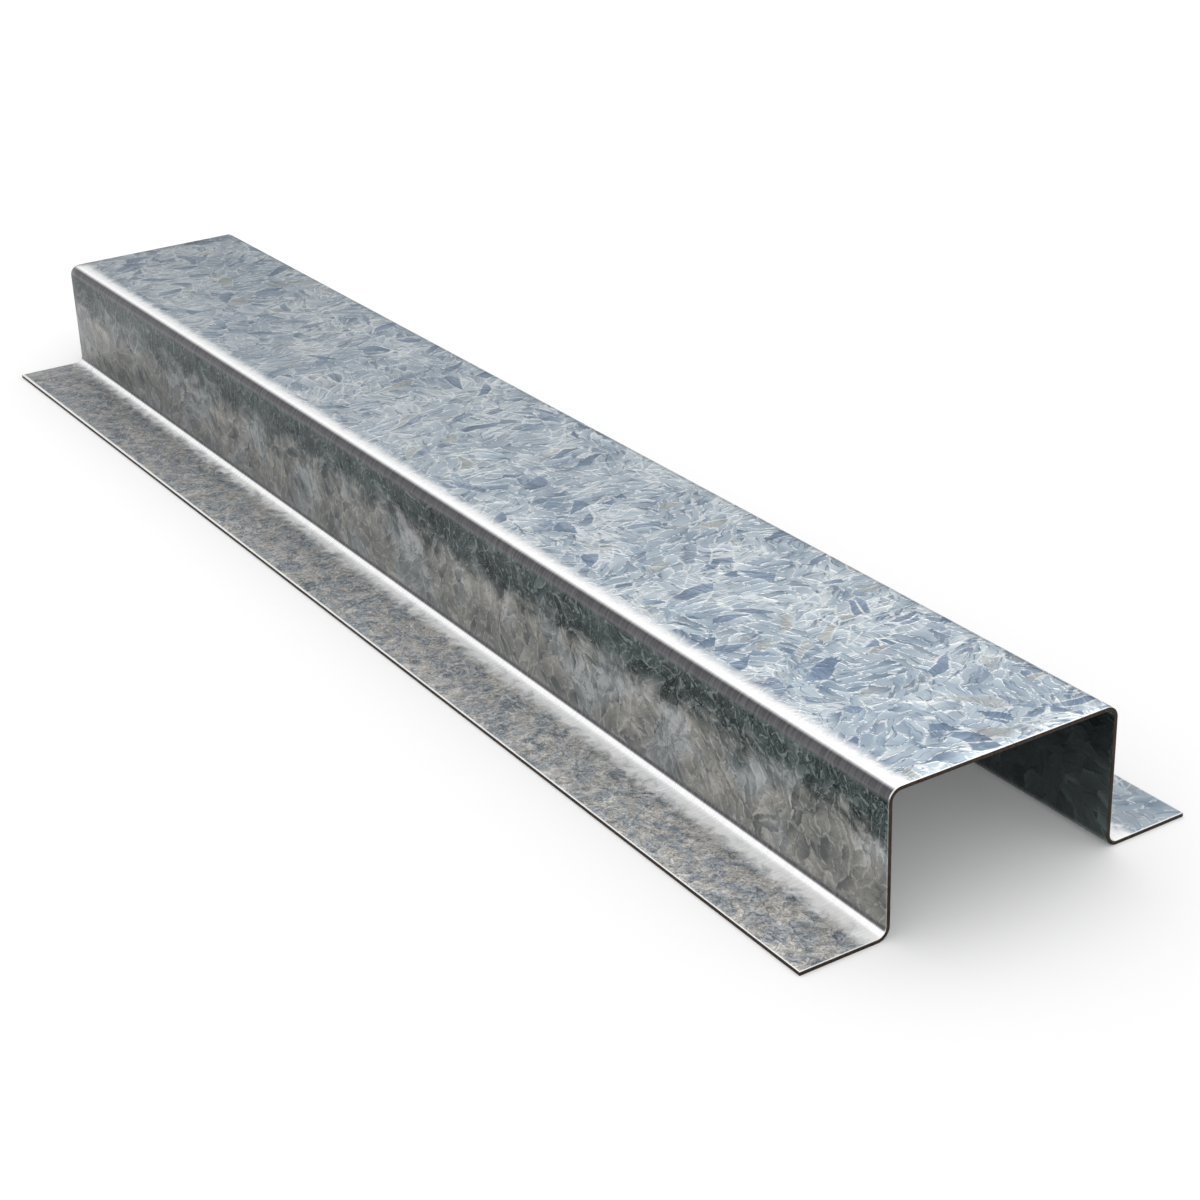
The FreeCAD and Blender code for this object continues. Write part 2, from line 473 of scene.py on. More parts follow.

# %% [markdown]
# ## Where each zone lies
#
# The blank is one sheet, and much of what makes its parts look different is painted light and
# shade. The crown is crisp and blue grey, its blue partly a painted sky reflection. The webs carry
# a painted dark reflection under the crown and, lower down, a lighter painted reflection in warm
# grey with cooler patches. The near flange is finely mottled, and the far one looks like the
# crown. So each zone is found by its distance from the middle of the blank, and its border is
# made ragged with noise. Map Range with a smooth step fades one zone into the next.
#
# The bends are zones too, and carry painted light. The painted highlight of the near top bend
# runs 4 mm onto the crown, with a frayed border, and the far one lies only on the bend itself. The
# painted highlight of a foot bend also runs onto its flange, and gets narrower from one end of the
# batten to the other.

# %% Distances on the blank
spot = add(tree, "SeparateXYZ", {0: blank_map})
along, across = spot.outputs[0], spot.outputs[1]
underside = add(tree, "Math", {0: across, 1: UNDERSIDE_AT / 2}, operation="GREATER_THAN")
shift = add(tree, "Math", {0: underside, 1: UNDERSIDE_AT}, operation="MULTIPLY")
across = add(tree, "Math", {0: across, 1: shift}, operation="SUBTRACT")
from_middle = add(tree, "Math", {0: across}, operation="ABSOLUTE")
LUMP, FRAY = 8 * MM, 4 * MM
lump_map = add(tree, "VectorMath", {0: blank_map, 1: (0.6, 1, 1)}, operation="MULTIPLY")
lumps = add(tree, "TexNoise", {"Vector": lump_map, "Scale": 1 / LUMP, "Detail": 3.0,
            "Roughness": 0.55, "Distortion": 0.4}, noise_dimensions="2D")
ragged = add(tree, "Math", {0: lumps, 1: 18 * MM, 2: from_middle}, operation="MULTIPLY_ADD")
ragged = add(tree, "Math", {0: ragged, 1: 9 * MM}, operation="SUBTRACT")
fringe = add(tree, "TexNoise", {"Vector": blank_map, "Scale": 1 / FRAY, "Detail": 3.0,
             "Distortion": 0.5}, noise_dimensions="2D")
fringe = add(tree, "Math", {0: fringe, 1: 0.5}, operation="SUBTRACT")
frayed = add(tree, "Math", {0: fringe, 1: 7 * MM, 2: from_middle}, operation="MULTIPLY_ADD")
straighter = add(tree, "Math", {0: fringe, 1: 2.5 * MM, 2: from_middle}, operation="MULTIPLY_ADD")
narrowed = add(tree, "MapRange", {0: along, 1: -length / 2, 2: length / 2, 3: 2.2 * MM,
               4: -1.2 * MM})
frayed = add(tree, "Math", {0: frayed, 1: narrowed}, operation="ADD")
far_side = add(tree, "Math", {0: across, 1: 0.0}, operation="GREATER_THAN")
print("the zones start at", [round(at / MM, 1) for at in (top_bend_at, web_at, foot_bend_at,
                                                         flange_at, free_edge_at)], "mm")

# %% Masks of the zones
STEP = {"interpolation_type": "SMOOTHSTEP"}
on_web = add(tree, "MapRange", {0: from_middle, 1: web_at - 1.6 * MM, 2: web_at - 0.7 * MM}, **STEP)
# Where the painted dark reflection of the upper web gives way to the lower web, which has
# weathered.
weathered_below_dark_reflection = add(tree, "MapRange", {0: ragged, 1: web_at + 5 * MM, 2: web_at + 18 * MM}, **STEP)
on_flange = add(tree, "MapRange", {0: from_middle, 1: foot_bend_at, 2: foot_bend_at + 2.5 * MM},
                **STEP)
web_share = add(tree, "Math", {0: on_web, 1: on_flange}, operation="SUBTRACT")
# Where the bends carry a painted highlight: the near top one runs 4.4 mm onto the crown with a
# ragged border, the far one starts on the bend.
onto_near_bend = add(tree, "MapRange", {0: straighter, 1: top_bend_at - 4.4 * MM,
                     2: top_bend_at}, **STEP)
onto_far_bend = add(tree, "MapRange", {0: from_middle, 1: top_bend_at + 1.2 * MM,
                    2: top_bend_at + 2.2 * MM}, **STEP)
onto_top_bend = add(tree, "Mix", {0: far_side, 2: onto_near_bend, 3: onto_far_bend})
off_top_bend = add(tree, "MapRange", {0: from_middle, 1: web_at - 1.3 * MM, 2: web_at + 0.3 * MM,
                   3: 1.0, 4: 0.0}, **STEP)
top_bend = add(tree, "Math", {0: onto_top_bend, 1: off_top_bend}, operation="MULTIPLY")
onto_foot_bend = add(tree, "MapRange", {0: from_middle, 1: foot_bend_at - 0.6 * MM,
                     2: foot_bend_at + 0.8 * MM}, **STEP)
off_foot_bend = add(tree, "MapRange", {0: frayed, 1: flange_at - 0.5 * MM, 2: flange_at + 5.5 * MM,
                    3: 1.0, 4: 0.0}, **STEP)
foot_bend = add(tree, "Math", {0: onto_foot_bend, 1: off_foot_bend}, operation="MULTIPLY")
# All the painted light on the bends: white highlights and the dark reflections beside them.
painted_bend_light = add(tree, "Math", {0: top_bend, 1: foot_bend}, operation="MAXIMUM")
# Where a bend carries a painted dark reflection: the lower half of a top bend and the web side of a
# foot bend.
dark_reflection_share = add(tree, "MapRange", {0: from_middle, 1: top_bend_at + 0.9 * MM,
           2: top_bend_at + 2.2 * MM}, **STEP)
to_bright = add(tree, "MapRange", {0: from_middle, 1: foot_bend_at + 1.3 * MM,
                2: foot_bend_at + 2.1 * MM, 3: 1.0, 4: 0.0}, **STEP)
dark_reflection_share = add(tree, "Math", {0: dark_reflection_share, 1: to_bright}, operation="MULTIPLY")
print(len(tree.nodes), "nodes")

# %% [markdown]
# ## Fine relief between the crystals
#
# The zinc isn't smooth between its seams: fine wrinkles run along the leaves of each grain, and
# short curls cross them. Stretched noise on the leaves' own map gives the first, and noise with
# some distortion the second. The real wrinkles are a few hundredths of a millimetre wide, too
# fine to show, so they are drawn about half a millimetre wide.

# %% Wrinkles, curls and seams
WRINKLE, CURL = 1.1 * MM, 2.8 * MM
wrinkle_map = add(tree, "VectorMath", {0: leaf_map, 1: (0.45, 1, 1)}, operation="MULTIPLY")
wrinkles = add(tree, "TexNoise", {"Vector": wrinkle_map, "Scale": 1 / WRINKLE, "Detail": 2.0,
               "Distortion": 0.7}, noise_dimensions="2D")
curls = add(tree, "TexNoise", {"Vector": blank_map, "Scale": 1 / CURL, "Detail": 3.0,
            "Roughness": 0.6, "Distortion": 1.6}, noise_dimensions="2D")
broken = add(tree, "MapRange", {0: curls, 1: 0.42, 2: 0.56}, **STEP)
seam = add(tree, "MapRange", {0: leaf_seam, 1: 0.08 * MM, 2: 0.42 * MM, 3: 1.0, 4: 0.0}, **STEP)
seam = add(tree, "Math", {0: seam, 1: broken}, operation="MULTIPLY")
shard_rim = add(tree, "MapRange", {0: shard_seam, 1: 0.1 * MM, 2: 0.5 * MM, 3: 1.0, 4: 0.0}, **STEP)
crevice = add(tree, "MapRange", {0: wrinkles, 1: 0.31, 2: 0.37, 3: 1.0, 4: 0.0}, **STEP)
print(len(tree.nodes), "nodes")

# %% [markdown]
# ## From relief to tone
#
# Each leaf gets a tone from its own random colour and from how high the place lies on its slant,
# which paints light and shade on it: the higher part comes out paler. The wrinkles are added to it
# the same way, paler on their crests, more in some patches of the sheet than in others. The curls
# give thin drawn lines as well: where the noise passes a chosen level there is a contour, and a
# narrow Map Range about that level draws it.

# %% The tone of the crystals, from dark to pale
PATCH = 24 * MM
patches = add(tree, "TexNoise", {"Vector": blank_map, "Scale": 1 / PATCH, "Detail": 2.0},
              noise_dimensions="2D")
wrinkled = add(tree, "MapRange", {0: patches, 1: 0.4, 2: 0.6, 3: 0.15, 4: 0.7})
tone = add(tree, "Math", {0: leaf_tones, 1: 0.36, 2: 0.12}, operation="MULTIPLY_ADD")
# Painted light and shade: each leaf comes out paler up its slant, and each wrinkle paler on its
# crest.
tone = add(tree, "Math", {0: leaf_rise, 1: 0.9, 2: tone}, operation="MULTIPLY_ADD")
tone = add(tree, "Math", {0: wrinkles, 1: wrinkled, 2: tone}, operation="MULTIPLY_ADD")
pale_line = add(tree, "Math", {0: curls, 1: 0.5}, operation="SUBTRACT")
pale_line = add(tree, "Math", {0: pale_line}, operation="ABSOLUTE")
pale_line = add(tree, "MapRange", {0: pale_line, 1: 0.0, 2: 0.05, 3: 1.0, 4: 0.0}, **STEP)
dark_line = add(tree, "Math", {0: curls, 1: 0.42}, operation="SUBTRACT")
dark_line = add(tree, "Math", {0: dark_line}, operation="ABSOLUTE")
dark_line = add(tree, "MapRange", {0: dark_line, 1: 0.0, 2: 0.04, 3: 1.0, 4: 0.0}, **STEP)
print(len(tree.nodes), "nodes")

# %% [markdown]
# ## The crown: blue grey spangle
#
# A colour ramp turns the tone to blue greys, whose blue is partly a painted sky reflection. Pale
# seams, which are painted highlights on the raised seams, and dark crevices, which are painted
# shade, are laid over it. The second, larger layer of crystals then adds a few big shards: those
# with the highest random values are slate blue and those with the lowest are beige, each painted
# paler up its slant. Its seams also show here and there as pale veins and rims, painted
# highlights too.

# %% Colours of the crown
# Blue greys, the blue partly a painted sky reflection.
crown = add(tree, "ValToRGB", {0: tone}, ramp=("#72859A", "#A2B1BE", "#BEC9D1", "#DAE1E4"))
# Painted highlights on the raised seams.
share = add(tree, "Math", {0: seam, 1: 0.75}, operation="MULTIPLY")
crown = add(tree, "Mix", {0: share, 6: crown, 7: "#EEF1F2"}, data_type="RGBA")
# Painted shade in the crevices.
share = add(tree, "Math", {0: crevice, 1: 0.65}, operation="MULTIPLY")
crown = add(tree, "Mix", {0: share, 6: crown, 7: "#5A6E83"}, data_type="RGBA")
print(len(tree.nodes), "nodes")

# %% Large shards on the crown
# Each large shard is painted paler up its slant.
shard_tone = add(tree, "Math", {0: shard_rise, 1: 1.2, 2: wrinkles}, operation="MULTIPLY_ADD")
slate = add(tree, "ValToRGB", {0: shard_tone}, ramp=("#566B84", "#768AA3", "#98A9BB"))
blue_share = add(tree, "MapRange", {0: shard_tones, 1: 0.80, 2: 0.93, 3: 0.0, 4: 0.85})
crown = add(tree, "Mix", {0: blue_share, 6: crown, 7: slate}, data_type="RGBA")
beige = add(tree, "ValToRGB", {0: shard_tone}, ramp=("#8B9091", "#A9ACA8", "#C4C5BF"))
beige_share = add(tree, "MapRange", {0: shard_tones, 1: 0.10, 2: 0.02, 3: 0.0, 4: 0.75})
crown = add(tree, "Mix", {0: beige_share, 6: crown, 7: beige}, data_type="RGBA")
large = add(tree, "Math", {0: blue_share, 1: beige_share}, operation="MAXIMUM")
# Painted highlights on the rims of the large shards.
share = add(tree, "Math", {0: shard_rim, 1: large}, operation="MULTIPLY")
share = add(tree, "Math", {0: share, 1: broken}, operation="MULTIPLY")
crown = add(tree, "Mix", {0: share, 6: crown, 7: "#E4E9EB"}, data_type="RGBA")
# Pale veins: painted highlights on the seams of the large shards.
vein = add(tree, "MapRange", {0: shard_seam, 1: 0.12 * MM, 2: 0.38 * MM, 3: 0.6, 4: 0.0}, **STEP)
unbroken = add(tree, "MapRange", {0: patches, 1: 0.5, 2: 0.58}, **STEP)
vein = add(tree, "Math", {0: vein, 1: unbroken}, operation="MULTIPLY")
crown = add(tree, "Mix", {0: vein, 6: crown, 7: "#EAEEEE"}, data_type="RGBA")
print(len(tree.nodes), "nodes")

# %% [markdown]
# ## The webs: painted dark reflection above, lighter painted reflection below
#
# Just under the crown the zinc is painted dark, as a painted dark reflection, with pale drawn
# lines. Lower down, where the zinc has weathered, it carries a lighter painted reflection in soft
# blotches. They come from two colour ramps, a warm and a cool one, which a slow noise mixes, and a
# painted shade makes them a little darker close to the foot.

# %% Colours of the webs
# The upper web: a painted dark reflection in dark green greys.
dark_tone = add(tree, "Math", {0: lumps, 1: 1.2, 2: -0.6}, operation="MULTIPLY_ADD")
dark_tone = add(tree, "Math", {0: dark_tone, 1: tone}, operation="ADD")
painted_dark_web = add(tree, "ValToRGB", {0: dark_tone}, ramp=("#111818", "#263130", "#384343", "#5A6564"))
# Pale drawn lines, with painted highlights on the seams.
share = add(tree, "Math", {0: pale_line, 1: 0.6}, operation="MULTIPLY")
share = add(tree, "Math", {0: share, 1: seam}, operation="MAXIMUM")
share = add(tree, "Math", {0: share, 1: 0.7}, operation="MULTIPLY")
painted_dark_web = add(tree, "Mix", {0: share, 6: painted_dark_web, 7: "#8B9694"}, data_type="RGBA")
# The lower web: a lighter painted reflection in warm and cool blotches.
blotch = add(tree, "Math", {0: lumps, 1: 1.3, 2: -0.75}, operation="MULTIPLY_ADD")
blotch = add(tree, "Math", {0: curls, 1: 0.35, 2: blotch}, operation="MULTIPLY_ADD")
blotch = add(tree, "Math", {0: tone, 1: 1.1, 2: blotch}, operation="MULTIPLY_ADD")
warm_web = add(tree, "ValToRGB", {0: blotch}, ramp=("#5E6262", "#888884", "#9F9D97", "#BCB9B3"))
cool_web = add(tree, "ValToRGB", {0: blotch}, ramp=("#535C61", "#798287", "#949A9D", "#B6BABC"))
share = add(tree, "MapRange", {0: patches, 1: 0.45, 2: 0.6, 3: 0.0, 4: 0.8}, **STEP)
warm_web = add(tree, "Mix", {0: share, 6: warm_web, 7: cool_web}, data_type="RGBA")
# A painted shade darkens the lower web close to the foot.
low = add(tree, "MapRange", {0: from_middle, 1: foot_bend_at - 8 * MM, 2: foot_bend_at - 1 * MM,
          3: 0.0, 4: 0.3}, **STEP)
warm_web = add(tree, "Mix", {0: low, 6: warm_web, 7: "#535655"}, data_type="RGBA")
share = add(tree, "Math", {0: dark_line, 1: 0.6}, operation="MULTIPLY")
warm_web = add(tree, "Mix", {0: share, 6: warm_web, 7: "#5F6464"}, data_type="RGBA")
# Painted highlights on the seams.
share = add(tree, "Math", {0: seam, 1: 0.3}, operation="MULTIPLY")
warm_web = add(tree, "Mix", {0: share, 6: warm_web, 7: "#D5D4D0"}, data_type="RGBA")
web = add(tree, "Mix", {0: weathered_below_dark_reflection, 6: painted_dark_web, 7: warm_web}, data_type="RGBA")
print(len(tree.nodes), "nodes")

# %% [markdown]
# ## The flanges: a fine mottle
#
# Small flecks of cool grey and tan make the near flange. Four patterns of different sizes are
# added up, because one noise alone looks like smoke. The far flange keeps the crown's crystals,
# under a painted shade that makes them a little darker.

# %% Colours of the flanges
CLOUD, FLECK = 6 * MM, 1.3 * MM
hue = add(tree, "TexNoise", {"Vector": moved_map, "Scale": 1 / CLOUD, "Detail": 3.0,
          "Distortion": 1.0}, noise_dimensions="2D")
flecks = add(tree, "TexNoise", {"Vector": blank_map, "Scale": 1 / FLECK, "Detail": 2.0,
             "Distortion": 2.2}, noise_dimensions="2D")
mottle = add(tree, "Math", {0: hue, 1: 0.7, 2: -0.6}, operation="MULTIPLY_ADD")
mottle = add(tree, "Math", {0: flecks, 1: 0.9, 2: mottle}, operation="MULTIPLY_ADD")
mottle = add(tree, "Math", {0: curls, 1: 0.6, 2: mottle}, operation="MULTIPLY_ADD")
# Painted light and shade: the leaves come out paler up their slant.
mottle = add(tree, "Math", {0: leaf_rise, 1: 0.35, 2: mottle}, operation="MULTIPLY_ADD")
mottle = add(tree, "MapRange", {0: mottle, 1: 0.18, 2: 0.86})
hue = add(tree, "MapRange", {0: hue, 1: 0.42, 2: 0.58}, **STEP)
cool = add(tree, "ValToRGB", {0: mottle}, ramp=("#5B6268", "#91979D", "#B3B7BB", "#DEE0E1"))
tan = add(tree, "ValToRGB", {0: mottle}, ramp=("#65635F", "#9B9894", "#B9B6B1", "#E0DEDB"))
flange = add(tree, "Mix", {0: hue, 6: cool, 7: tan}, data_type="RGBA")
# Painted highlights on the seams.
share = add(tree, "Math", {0: seam, 1: 0.35}, operation="MULTIPLY")
flange = add(tree, "Mix", {0: share, 6: flange, 7: "#D9DBDC"}, data_type="RGBA")
# Painted shade in the crevices.
share = add(tree, "Math", {0: crevice, 1: 0.3}, operation="MULTIPLY")
flange = add(tree, "Mix", {0: share, 6: flange, 7: "#4A5056"}, data_type="RGBA")
share = add(tree, "Math", {0: dark_line, 1: 0.45}, operation="MULTIPLY")
flange = add(tree, "Mix", {0: share, 6: flange, 7: "#5A5F63"}, data_type="RGBA")
# A painted shade over the crown's colours on the far flange.
far_flange = add(tree, "Mix", {0: 0.35, 6: crown, 7: "#66727D"}, data_type="RGBA")
flange = add(tree, "Mix", {0: far_side, 6: flange, 7: far_flange}, data_type="RGBA")
print(len(tree.nodes), "nodes")

# %% [markdown]
# ## The bends
#
# The tool of the press brake rubs the bends and wipes the crystals out there, leaving fine
# scratches that run round the bend, the way the sheet slid over the tool. Light is painted on the
# bends: the upper half of a top bend is a painted white highlight, and its lower half a painted
# dark reflection. A foot bend has a painted dark reflection on its web side and a painted
# highlight towards the flange.
#
# A thin painted highlight runs along the border beside the cut, wider towards the far end.

# %% Colours of the bends
SCRATCH = 0.9 * MM
scratch_map = add(tree, "VectorMath", {0: blank_map, 1: (1, 0.06, 1)}, operation="MULTIPLY")
scratches = add(tree, "TexNoise", {"Vector": scratch_map, "Scale": 1 / SCRATCH, "Detail": 4.0},
                noise_dimensions="2D")
scratches = add(tree, "MapRange", {0: scratches, 1: 0.3, 2: 0.7})
# The painted white highlight of the bends.
painted_bend_highlight = add(tree, "ValToRGB", {0: scratches}, ramp=("#F3F3F4", "#FFFFFF"))
# The painted dark reflection, turning grey towards the web.
painted_dark_reflection = add(tree, "ValToRGB", {0: scratches}, ramp=("#3E3E41", "#57565A"))
painted_grey_reflection = add(tree, "ValToRGB", {0: scratches}, ramp=("#57575A", "#6F6E71"))
down = add(tree, "MapRange", {0: from_middle, 1: top_bend_at + 2 * MM, 2: web_at - 0.6 * MM})
painted_bend_reflection = add(tree, "Mix", {0: down, 6: painted_dark_reflection, 7: painted_grey_reflection}, data_type="RGBA")
# Painted highlight where the bend faces up, painted dark reflection below it.
bend = add(tree, "Mix", {0: dark_reflection_share, 6: painted_bend_highlight, 7: painted_bend_reflection}, data_type="RGBA")
print(len(tree.nodes), "nodes")

# %% [markdown]
# ## One skin from all zones
#
# Mix nodes lay the webs over the crown, the flanges over both and the painted light of the bends
# over them all. A painted shade makes the strip a little darker towards its far end. The underside
# is plainer and painted darker as shade, and the inner faces of the webs, in the shade of the
# channel, are painted darker than its flats.

# %% Put the zones together
skin = add(tree, "Mix", {0: on_web, 6: crown, 7: web}, data_type="RGBA")
skin = add(tree, "Mix", {0: on_flange, 6: skin, 7: flange}, data_type="RGBA")
# A painted shade: the strip darkens towards its far end.
shade = add(tree, "MapRange", {0: along, 1: -length / 2, 2: 0.4 * length, 3: 0.38, 4: 0.0})
skin = add(tree, "Mix", {0: shade, 6: skin, 7: "#3C444A"}, data_type="RGBA")
skin = add(tree, "Mix", {0: painted_bend_light, 6: skin, 7: bend}, data_type="RGBA")
# A painted highlight: a thin bright line beside the cut border, wider towards the far end and faint
# on the webs.
to_edge = add(tree, "Math", {0: free_edge_at, 1: from_middle}, operation="SUBTRACT")
wider = add(tree, "MapRange", {0: along, 1: -length / 2, 2: length / 2, 3: 0.6 * MM, 4: 0.0})
to_edge = add(tree, "Math", {0: to_edge, 1: wider}, operation="SUBTRACT")
to_end = add(tree, "Math", {0: along}, operation="ABSOLUTE")
to_end = add(tree, "Math", {0: length / 2, 1: to_end}, operation="SUBTRACT")
to_rim = add(tree, "Math", {0: to_edge, 1: to_end}, operation="MINIMUM")
painted_edge_highlight = add(tree, "MapRange", {0: to_rim, 1: 0.15 * MM, 2: 0.45 * MM, 3: 0.85, 4: 0.0}, **STEP)
spared = add(tree, "MapRange", {0: web_share, 3: 1.0, 4: 0.2})
painted_edge_highlight = add(tree, "Math", {0: painted_edge_highlight, 1: spared}, operation="MULTIPLY")
skin = add(tree, "Mix", {0: painted_edge_highlight, 6: skin, 7: "#F1F1F0"}, data_type="RGBA")
# Painted shade on the underside, darkest on the inner faces of the webs inside the channel.
shaded_underside = add(tree, "ValToRGB", {0: tone}, ramp=("#59605F", "#6F7776", "#7D8484", "#949A9B"))
shaded_inner_web = add(tree, "ValToRGB", {0: tone}, ramp=("#262E2E", "#333D3D", "#3C4646", "#566060"))
lower = add(tree, "Mix", {0: web_share, 6: shaded_underside, 7: shaded_inner_web}, data_type="RGBA")
skin = add(tree, "Mix", {0: underside, 6: skin, 7: lower}, data_type="RGBA")
print(len(tree.nodes), "nodes")

# %% [markdown]
# ## How the zinc shines
#
# Bare zinc is a metal. Where it has weathered, a thin grey patina of zinc carbonate lies over it,
# which is matt and isn't metal. So the weathered part of the webs gets a lower metallic share, and
# the flanges get a still lower one and a higher roughness. The rubbed bends are smooth: the top
# ones are nearly bare metal, and the feet turn from metal to matt towards the flange, where their
# chalky white is a painted highlight.

# %% Metal, roughness and relief
METAL_BARE, METAL_WEATHERED, METAL_FLANGE, METAL_RUBBED = 1.0, 0.45, 0.3, 0.9
metal = add(tree, "MapRange", {0: weathered_below_dark_reflection, 3: METAL_BARE, 4: METAL_WEATHERED})
metal = add(tree, "Mix", {0: on_flange, 2: metal, 3: METAL_FLANGE})
metal = add(tree, "Mix", {0: top_bend, 2: metal, 3: METAL_RUBBED})
# Towards the flange the foot's painted highlight turns matt, so that its white shows as a chalky
# glow.
rubbed = add(tree, "MapRange", {0: from_middle, 1: flange_at - 1.7 * MM, 2: flange_at - 0.7 * MM,
             3: 0.6, 4: 0.05}, **STEP)
metal = add(tree, "Mix", {0: foot_bend, 2: metal, 3: rubbed})
flat_rough = add(tree, "MapRange", {0: leaf_tones.outputs[1], 3: 0.28, 4: 0.38})
flat_rough = add(tree, "Mix", {0: on_flange, 2: flat_rough, 3: 0.5})
bend_rough = add(tree, "MapRange", {0: scratches, 3: 0.25, 4: 0.28})
rough = add(tree, "Mix", {0: painted_bend_light, 2: flat_rough, 3: bend_rough})

SEAM_HEIGHT, LEAF_SLANT, WRINKLE_HEIGHT = 0.05 * MM, 0.25 * MM, 0.13 * MM
height = add(tree, "Math", {0: seam, 1: SEAM_HEIGHT}, operation="MULTIPLY")
height = add(tree, "Math", {0: leaf_rise, 1: LEAF_SLANT, 2: height}, operation="MULTIPLY_ADD")
fine_height = add(tree, "Math", {0: wrinkled, 1: WRINKLE_HEIGHT}, operation="MULTIPLY")
height = add(tree, "Math", {0: wrinkles, 1: fine_height, 2: height}, operation="MULTIPLY_ADD")
smooth = add(tree, "MapRange", {0: painted_bend_light, 3: 1.0, 4: 0.1})
relief = add(tree, "Bump", {"Height": height, "Distance": 1.0, "Strength": smooth})
surface = add(tree, "BsdfPrincipled", {"Base Color": skin, "Metallic": metal, "Roughness": rough,
              "Normal": relief})
add(tree, "OutputMaterial", {0: surface})
print("the zinc has", len(tree.nodes), "nodes")

# %% [markdown]
# ## The sheared edge
#
# The shear cut through the zinc, so the rim shows the steel itself: dark, brown with a breath of
# rust, torn in fine lines across the gauge. The zinc keeps the eased arrises, because the shear
# drags it over them.

# %% Bare steel on the rim
sheared = bpy.data.materials.new("sheared_bare_steel")
sheared.use_nodes = True
sheared.node_tree.nodes.clear()
tree = sheared.node_tree
TEAR, TEAR_DEPTH = 0.8 * MM, 0.05 * MM
place = add(tree, "TexCoord").outputs["Object"]
place = add(tree, "VectorMath", {0: place, 1: (1, 1, 0.25)}, operation="MULTIPLY")
tears = add(tree, "TexNoise", {"Vector": place, "Scale": 1 / TEAR, "Detail": 3.0})
steel = add(tree, "ValToRGB", {0: tears}, ramp=("#1C1815", "#332C26", "#4A4038", "#6B5D50"))
rough = add(tree, "MapRange", {0: tears, 3: 0.45, 4: 0.65})
height = add(tree, "Math", {0: tears, 1: TEAR_DEPTH}, operation="MULTIPLY")
relief = add(tree, "Bump", {"Height": height, "Distance": 1.0})
surface = add(tree, "BsdfPrincipled", {"Base Color": steel, "Metallic": 1.0, "Roughness": rough,
              "Normal": relief})
add(tree, "OutputMaterial", {0: surface})

batten_sheet.data.materials.append(zinc)
batten_sheet.data.materials.append(sheared)
for face in batten_sheet.data.polygons:
    to_rim = min(length / 2 - abs(face.center.x), width / 2 - abs(face.center.y))
    on_top = is_upper(face.center, face.normal) and to_rim > TINY
    face.material_index = 1 if to_rim < ARRIS and not on_top else 0
print("faces of bare steel:", sum(face.material_index for face in batten_sheet.data.polygons))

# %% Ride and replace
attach(batten_sheet, "root")
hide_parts("top_hat_batten")
print("triangles:", sum(len(face.vertices) - 2 for face in batten_sheet.data.polygons))

# %% [markdown]
# ## A pale studio floor
#
# The floor is a matt white sheet of paper. Seen directly or in the metal it glows a little, so
# that it comes out white without any more light on the batten, and it keeps the batten's shadow.
# The glow grows from 0.35 m to 1 m away, so that the paper runs into the white behind it.

# %% The floor
FLOOR_SIZE = 8.0
GLOW_FROM, GLOW_TO = 0.35, 1.0
bpy.ops.object.select_all(action="DESELECT")
bpy.ops.mesh.primitive_plane_add(size=FLOOR_SIZE, location=(0, 0, 0))
floor = bpy.context.object
floor.name = "studio_floor"
paper = bpy.data.materials.new("pale_studio_paper")
paper.use_nodes = True
paper.node_tree.nodes.clear()
tree = paper.node_tree
rays = add(tree, "LightPath").outputs
matt = add(tree, "BsdfDiffuse", {"Color": "#EBEBEB"})
seen = add(tree, "Math", {0: rays["Is Camera Ray"], 1: rays["Is Glossy Ray"]}, operation="MAXIMUM")
away = add(tree, "VectorMath", {0: add(tree, "TexCoord").outputs["Object"]}, operation="LENGTH")
strength = add(tree, "MapRange", {0: away, 1: GLOW_FROM, 2: GLOW_TO, 3: 0.1, 4: 0.3})
strength = add(tree, "Math", {0: seen, 1: strength}, operation="MULTIPLY")
glow = add(tree, "Emission", {"Color": "#FFFFFF", "Strength": strength})
both = add(tree, "AddShader", {0: matt, 1: glow})
add(tree, "OutputMaterial", {0: both})
floor.data.materials.append(paper)
floor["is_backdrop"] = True
print("the floor is", round(floor.dimensions.x, 2), "m across")

# %% [markdown]
# ## Light for sheet metal
#
# Metal shows its surroundings, so what matters is how they change from the horizon upwards. The
# sky of this studio is a long white canopy that hangs over the batten, runs along it and leans a
# little to its near side. It is bright overhead, where a bend mirrors it as a white line, and
# falls off to both sides towards a dim horizon. That follows the height of a ray as seen along
# the batten, so the crown stays even along its length. Then the canopy is dimmed a little
# behind the far end and brightened past the near, open end.
#
# The ridge of the canopy is brighter for mirror rays alone. That makes the rubbed bends white
# without any more light on the floor.

# %% The canopy
world = bpy.data.worlds.new("studio")
bpy.context.scene.world = world
world.use_nodes = True
tree = world.node_tree
tree.nodes.clear()
rays = add(tree, "LightPath").outputs
ray = add(tree, "TexCoord").outputs["Generated"]
across_ray = add(tree, "VectorMath", {0: ray, 1: (0, 1, 1)}, operation="MULTIPLY")
across_ray = add(tree, "VectorMath", {0: across_ray}, operation="NORMALIZE")
CANOPY_TOP = Vector((0, -0.35, 0.94)).normalized()
HORIZON_LIGHT, CANOPY_LIGHT, RIDGE_LIGHT = 0.28, 1.04, 0.13
climb = add(tree, "VectorMath", {0: across_ray, 1: CANOPY_TOP}, operation="DOT_PRODUCT")
sky = add(tree, "MapRange", {0: climb.outputs["Value"], 1: -0.22, 2: 0.42, 3: HORIZON_LIGHT,
          4: CANOPY_LIGHT}, **STEP)
ridge = add(tree, "MapRange", {0: climb.outputs["Value"], 1: 0.45, 2: 0.8, 3: 0.0,
            4: RIDGE_LIGHT}, **STEP)
